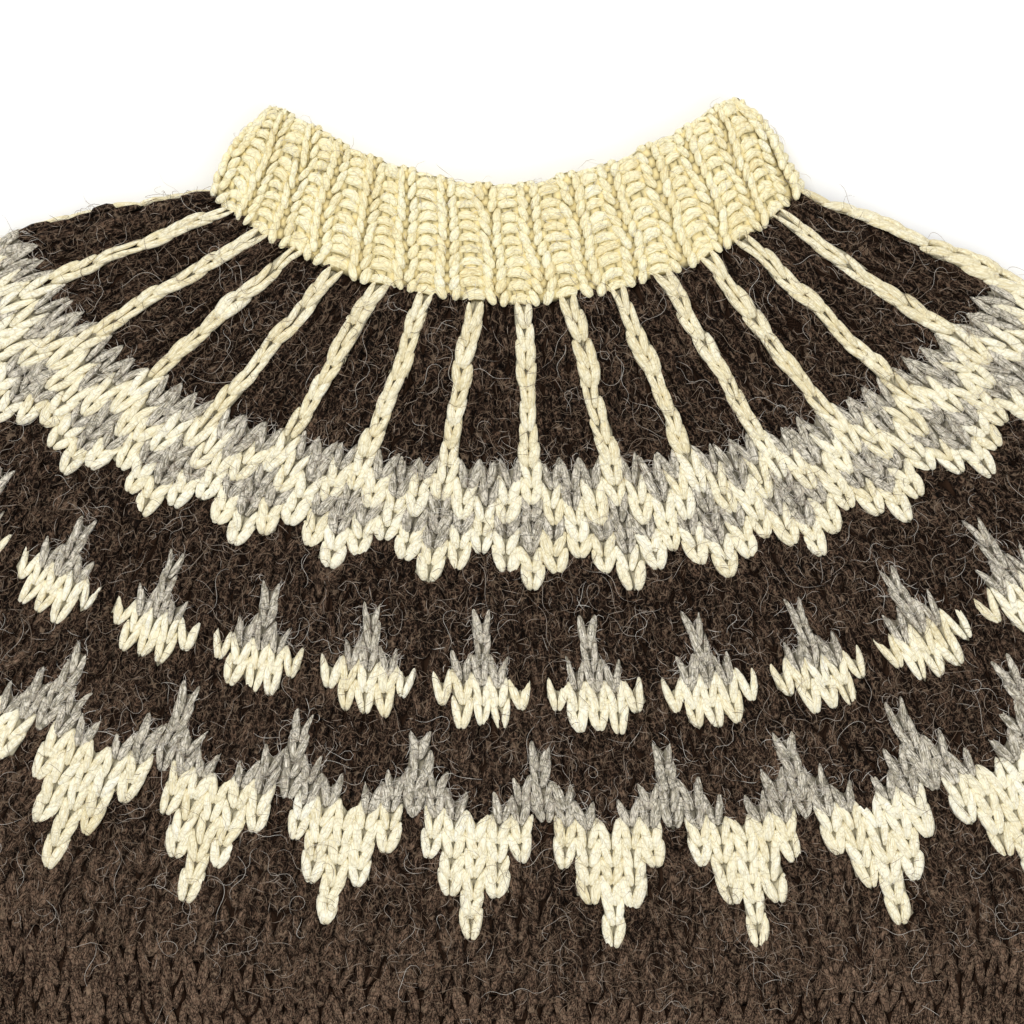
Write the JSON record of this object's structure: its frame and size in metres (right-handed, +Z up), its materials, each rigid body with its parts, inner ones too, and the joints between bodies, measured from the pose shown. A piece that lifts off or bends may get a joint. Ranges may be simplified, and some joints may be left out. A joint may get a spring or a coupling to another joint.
{
  "type": "nordic round-yoke sweater",
  "caption": "Hand-knitted wool pullover laid flat, with a ribbed stand collar and a patterned round yoke of spokes, diamonds and crown motifs.",
  "frame": {"origin": "on the surface it lies on, under the middle of the laid-out sweater's box", "axes": "+X to the right across the sleeves as seen from above, +Y from the hem to the collar, +Z up out of the front panel"},
  "size_m": [1.226, 0.661, 0.0171],
  "materials": {
    "cream_wool": "undyed cream wool in a knit-one-purl-one rib",
    "patterned_wool": "stranded stocking stitch in dark brown, light grey and cream wool",
    "dark_wool": "heathered dark brown wool in stocking stitch, with a long light halo"
  },
  "bodies": {
    "root": {"collar": "cream_wool", "yoke": "patterned_wool", "body": "dark_wool", "hem_rib": "dark_wool", "sleeve_left": "dark_wool", "sleeve_right": "dark_wool", "cuff_left": "dark_wool", "cuff_right": "dark_wool"}
  },
  "joints": []
}
